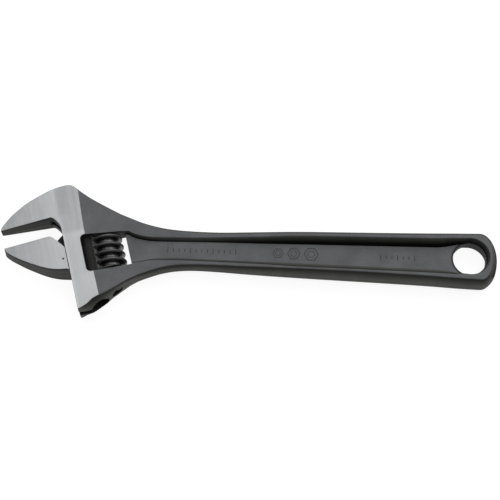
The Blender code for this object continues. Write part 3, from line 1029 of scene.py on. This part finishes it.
def jaw_rail(finishes):
    low, high = RAIL_U
    chamfer = 0.5
    profile = (
        (RAIL_RADIUS - chamfer, low),
        (RAIL_RADIUS, low + chamfer),
        (RAIL_RADIUS, high - chamfer),
        (RAIL_RADIUS - chamfer, high),
    )
    rail = turned("jaw_rail", RAIL_V, profile, 72)
    combine(rail, slab("neck_web", NECK_WEB, -NECK_HALF, NECK_HALF, jaw_place), "UNION")
    clearance, flank_clearance = 0.22, 0.035
    combine(rail, rack_cutter(clearance, flank_clearance))
    settle(rail)
    clean(rail)
    dress(rail, finishes, ("rail",), lambda p, normal: 0)
    weigh_normals(rail, 45.0)
    return rail


# The worm and the spring follow rules, so node trees make them.


def new_tree(name, inputs):
    tree = bpy.data.node_groups.new(name, "GeometryNodeTree")
    tree.interface.new_socket("Geometry", in_out="INPUT", socket_type="NodeSocketGeometry")
    for label, kind, value in inputs:
        socket = tree.interface.new_socket(label, in_out="INPUT", socket_type=kind)
        if value is not None:
            socket.default_value = value
    tree.interface.new_socket("Geometry", in_out="OUTPUT", socket_type="NodeSocketGeometry")
    bench = Bench(tree)
    entry = tree.nodes.new("NodeGroupInput")
    leave = tree.nodes.new("NodeGroupOutput")
    values = {socket.name: Wire(bench, socket) for socket in entry.outputs if socket.name}
    return tree, bench, values, leave


def hand_over(bench, shape, given, leave):
    """The end of a node tree: real geometry in its finish."""
    real = bench.node("GeometryNodeRealizeInstances", {}, [shape])
    dressed = bench.node("GeometryNodeSetMaterial", {}, {"Geometry": real, "Material": given["Finish"]})
    bench.feed(leave.inputs[0], dressed)


def grown(name, tree, material_input, material):
    """The plain mesh that a node tree makes."""
    holder = bpy.data.objects.new(name, bpy.data.meshes.new(name))
    bpy.context.scene.collection.objects.link(holder)
    modifier = holder.modifiers.new(name, "NODES")
    modifier.node_group = tree
    for item in tree.interface.items_tree:
        if item.item_type == "SOCKET" and item.in_out == "INPUT" and item.name == material_input:
            modifier[item.identifier] = material
    return settle(holder)


def to_jaw_place(bench, v, u, z):
    """A point of the jaw's frame, in millimetres, as a position."""
    x = v * JAW_COS - u * JAW_SIN + (JAW_CORNER[0] + SHIFT.x)
    y = v * JAW_SIN + u * JAW_COS + (JAW_CORNER[1] + SHIFT.y)
    return bench.node("ShaderNodeCombineXYZ", {}, [x * MM, y * MM, (z + SHIFT.z) * MM])


def worm_tree():
    """A left-hand thread: a sheet wrapped round the axis and through the bore, its radius set by the turn."""
    columns, rows = 128, 132
    run_out, chamfer = 0.7, 0.6
    tree, bench, given, leave = new_tree(
        "worm_thread",
        [
            ("Crest", "NodeSocketFloat", WORM_CREST),
            ("Root", "NodeSocketFloat", WORM_ROOT),
            ("Lead", "NodeSocketFloat", WORM_LEAD),
            ("Bore", "NodeSocketFloat", PIN_RADII[1] + PIN_PLAY),
            ("Pocket", "NodeSocketFloat", SPRING_POCKET[0]),
            ("Pocket Depth", "NodeSocketFloat", SPRING_POCKET[1]),
            ("Finish", "NodeSocketMaterial", None),
        ],
    )
    sheet = bench.node("GeometryNodeMeshGrid", {}, [1.0, 1.0, columns + 1, rows + 5])
    spot = bench.node("GeometryNodeInputPosition")
    angle = (bench.part(spot, 0) + 0.5) * (2 * math.pi)
    row = ((bench.part(spot, 1) + 0.5) * float(rows + 4)).maths("ROUND")
    low, high = WORM_U
    part = ((row - 1.0) / float(rows - 1)).clamp()
    u_thread = low + (high - low) * part
    turn = u_thread / given["Lead"] - WORM_PHASE - angle / (2 * math.pi)
    away = abs((turn + 0.5).maths("FLOORED_MODULO", 1.0) - 0.5)
    fall = ((away - THREAD_FLAT) / (THREAD_FOOT - THREAD_FLAT)).clamp()
    ridge = 0.5 + 0.5 * (fall * math.pi).maths("COSINE")
    crown = THREAD_CROWN * ((away / THREAD_FLAT).maths("MINIMUM", 1.0) ** 2.0)
    thread = given["Root"] + (given["Crest"] - given["Root"] - crown) * ridge
    # The ends are eased, so that the last ridges run out to a small chamfer.
    edge = ((u_thread - low).maths("MINIMUM", high - u_thread) / run_out).clamp()
    thread = thread - (1.0 - edge) * (1.0 - edge) * chamfer
    is_start = row < 0.5
    is_thread = (row > 0.5) * (row < rows + 0.5)
    is_pocket = (row > rows + 0.5) * (row < rows + 2.5)
    is_bore = row > rows + 2.5
    radius = is_thread * thread + is_pocket * given["Pocket"] + (is_start + is_bore) * given["Bore"]
    is_face = (row > rows + 0.5) * (row < rows + 1.5)
    is_floor = (row > rows + 1.5) * (row < rows + 3.5)
    is_close = row > rows + 3.5
    u = (is_start + is_close) * low + is_thread * u_thread + is_face * high
    u = u + is_floor * (high - given["Pocket Depth"])
    v = radius * angle.maths("COSINE") + WORM_V
    z = radius * angle.maths("SINE")
    target = to_jaw_place(bench, v, u, z)
    moved = bench.node("GeometryNodeSetPosition", {}, {"Geometry": sheet, "Position": target})
    sealed = bench.node("GeometryNodeMergeByDistance", {}, {"Geometry": moved, "Distance": 0.004 * MM})
    hand_over(bench, sealed, given, leave)
    return tree


def spring_tree():
    """A wire on a coil round the pin."""
    low = WORM_U[1] - SPRING_POCKET[1] + SPRING_WIRE + SPRING_GAP
    high = WINDOW_U[1] - SPRING_WIRE - SPRING_GAP
    tree, bench, given, leave = new_tree(
        "spring_coil",
        [
            ("Turns", "NodeSocketFloat", 3.5),
            ("Radius", "NodeSocketFloat", SPRING_RADIUS),
            ("Wire", "NodeSocketFloat", SPRING_WIRE),
            ("Finish", "NodeSocketMaterial", None),
        ],
    )
    coil = bench.node(
        "GeometryNodeCurveSpiral",
        {},
        {
            "Resolution": 40,
            "Rotations": given["Turns"],
            "Start Radius": given["Radius"],
            "End Radius": given["Radius"],
            "Height": high - low,
        },
    )
    spot = bench.node("GeometryNodeInputPosition")
    v, z, u = (bench.part(spot, which) for which in range(3))
    target = to_jaw_place(bench, v + WORM_V, u + low, z)
    laid = bench.node("GeometryNodeSetPosition", {}, {"Geometry": coil, "Position": target})
    wire = {"Resolution": 12, "Radius": given["Wire"] * MM}
    ring = bench.node("GeometryNodeCurvePrimitiveCircle", {}, wire)
    sweep = {"Curve": laid, "Profile Curve": ring, "Fill Caps": True}
    hand_over(bench, bench.node("GeometryNodeCurveToMesh", {}, sweep), given, leave)
    return tree


def face_out(piece):
    """Seals a grown mesh and turns its faces outward."""
    work = bmesh.new()
    work.from_mesh(piece.data)
    bmesh.ops.remove_doubles(work, verts=work.verts, dist=0.002 * MM)
    bmesh.ops.recalc_face_normals(work, faces=work.faces)
    work.to_mesh(piece.data)
    work.free()


def grown_piece(name, tree, material):
    piece = grown(name, tree, "Finish", material)
    face_out(piece)
    smooth(piece, 50.0)
    return piece


def thumb_worm(finishes):
    return grown_piece("thumb_worm", worm_tree(), finishes["oiled"])


def play_spring(finishes):
    return grown_piece("play_spring", spring_tree(), finishes["wire"])


def screw_pin(finishes):
    head, neck, tip = PIN_U
    wide, slim = PIN_RADII
    edge, corner, step, chamfer = 0.45, 0.12, 0.3, 0.5
    profile = (
        (wide - edge, head),
        (wide - corner, head + corner),
        (wide, head + edge),
        (wide, neck - step),
        (slim, neck),
        (slim, tip - chamfer),
        (slim - chamfer, tip),
    )
    pin = turned("screw_pin", WORM_V, profile, 48)
    reach, outside, depth, slot_half = 5.0, 3.0, 1.3, 0.5
    left, right = WORM_V - reach, WORM_V + reach
    start, floor = head - outside, head + depth
    slot = ((left, start), (right, start), (right, floor), (left, floor))
    combine(pin, slab("driver_slot", slot, -slot_half, slot_half, jaw_place))
    settle(pin)
    clean(pin)
    dress(pin, finishes, ("rail",), lambda p, normal: 0)
    weigh_normals(pin)
    return pin


def etched_marks(finishes):
    """Plain etched marks on the web: two rows of ticks with three nut outlines between them."""
    low, high = WEB_HALF - 0.05, WEB_HALF + 0.03
    tick_step, tick_half = 2.9, 0.25
    sides = 6

    def ticks(work, start, y, count, group, heights):
        """A row of ticks, the first of each group taller."""
        for i in range(count):
            x = start + tick_step * i
            half = heights[0 if i % group == 0 else 1] / 2
            left, right = x - tick_half, x + tick_half
            corners = [(left, y - half), (right, y - half), (right, y + half), (left, y + half)]
            layers(work, corners, low, high)

    def hexagon(work, x, reach, wide):
        outer, inner = (circle(x, 0.0, radius, sides) for radius in (reach, reach - wide))
        for i in range(sides):
            j = (i + 1) % sides
            layers(work, [inner[i], outer[i], outer[j], inner[j]], low, high)

    def build(work):
        ticks(work, -41.5, -0.25, 13, 4, (3.0, 1.9))
        ticks(work, 67.5, -0.3, 7, 3, (2.8, 1.8))
        for x, reach in ((15.0, 2.9), (23.0, 3.4), (32.0, 3.9)):
            hexagon(work, x, reach, 0.6)
            hexagon(work, x, reach * 0.55, 0.45)

    marks = mesh_piece("etched_marks", build)
    marks.data.materials.append(finishes["etched"])
    return marks


# The stage.


def build_camera():
    tilt, roll = math.radians(VIEW_TILT), math.radians(VIEW_ROLL)
    back = Vector((math.sin(tilt) * math.sin(roll), -math.sin(tilt) * math.cos(roll), math.cos(tilt)))
    right = Vector((math.cos(roll), math.sin(roll), 0.0))
    data = bpy.data.cameras.new("camera")
    sensor = 36.0
    data.sensor_width = sensor
    data.lens = sensor * VIEW_DISTANCE / VIEW_WIDTH
    data.clip_start = 0.01
    camera = bpy.data.objects.new("camera", data)
    bpy.context.scene.collection.objects.link(camera)
    turned_to = Matrix((right, back.cross(right), back)).transposed().to_4x4()
    turned_to.translation = (VIEW_CENTRE + back * VIEW_DISTANCE) * MM
    camera.matrix_world = turned_to
    bpy.context.scene.camera = camera


def softbox(name, place_m, target_m, size, power):
    """A rectangular light. Its places and size are in metres."""
    data = bpy.data.lights.new(name, "AREA")
    data.shape = "RECTANGLE"
    data.size, data.size_y = size
    data.energy = power
    light = bpy.data.objects.new(name, data)
    bpy.context.scene.collection.objects.link(light)
    light.location = place_m
    light.rotation_euler = (Vector(target_m) - Vector(place_m)).to_track_quat("-Z", "Y").to_euler()


def build_stage():
    mesh = bpy.data.meshes.new("floor")
    half = 4.0
    corners = [(-half, -half, 0), (half, -half, 0), (half, half, 0), (-half, half, 0)]
    mesh.from_pydata(corners, [], [(0, 1, 2, 3)])
    floor = bpy.data.objects.new("floor", mesh)
    bpy.context.scene.collection.objects.link(floor)
    floor.location.z = -0.2 * MM
    pale = finish("pale_floor", (0.2, 0.2, 0.2), 0.0, 0.9, specular=0.0)
    shader = pale.node_tree.nodes["Principled BSDF"]
    shader.inputs["Emission Color"].default_value = (1.0, 1.0, 1.0, 1.0)
    shader.inputs["Emission Strength"].default_value = FLOOR_GLOW
    mesh.materials.append(pale)
    softbox("far_side", (0.1, 0.95, 0.95), (0.0, 0.0, 0.0), (1.7, 0.8), FAR_POWER)
    softbox("overhead", (0.17, -0.02, 1.25), (0.17, -0.02, 0.0), (1.86, 1.35), OVERHEAD_POWER)
    world = bpy.data.worlds.new("studio")
    world.use_nodes = True
    background = world.node_tree.nodes["Background"]
    background.inputs[0].default_value = (1.0, 1.0, 1.0, 1.0)
    bench = Bench(world.node_tree)
    across = bench.part(bench.node("ShaderNodeTexCoord", output=0), 1)
    near, far = STUDIO_LIGHT
    bench.feed(background.inputs[1], near + (far - near) * across.step(-0.6, 0.8))
    bpy.context.scene.world = world
    bpy.context.scene.view_settings.view_transform = "Standard"


def main():
    finishes = make_finishes()
    made = (
        (wrench_body(finishes), "frame", "body"),
        (jaw_block(finishes), "jaw", "movable_jaw"),
        (jaw_rail(finishes), "jaw", "movable_jaw"),
        (thumb_worm(finishes), "worm", "adjusting_worm"),
        (screw_pin(finishes), "frame", "worm_pin"),
        (play_spring(finishes), "frame", "worm_spring"),
    )
    for piece, body, node in made:
        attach(piece, body)
        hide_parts(node)
    marks = etched_marks(finishes)
    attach(marks, "frame")
    build_stage()
    build_camera()


main()
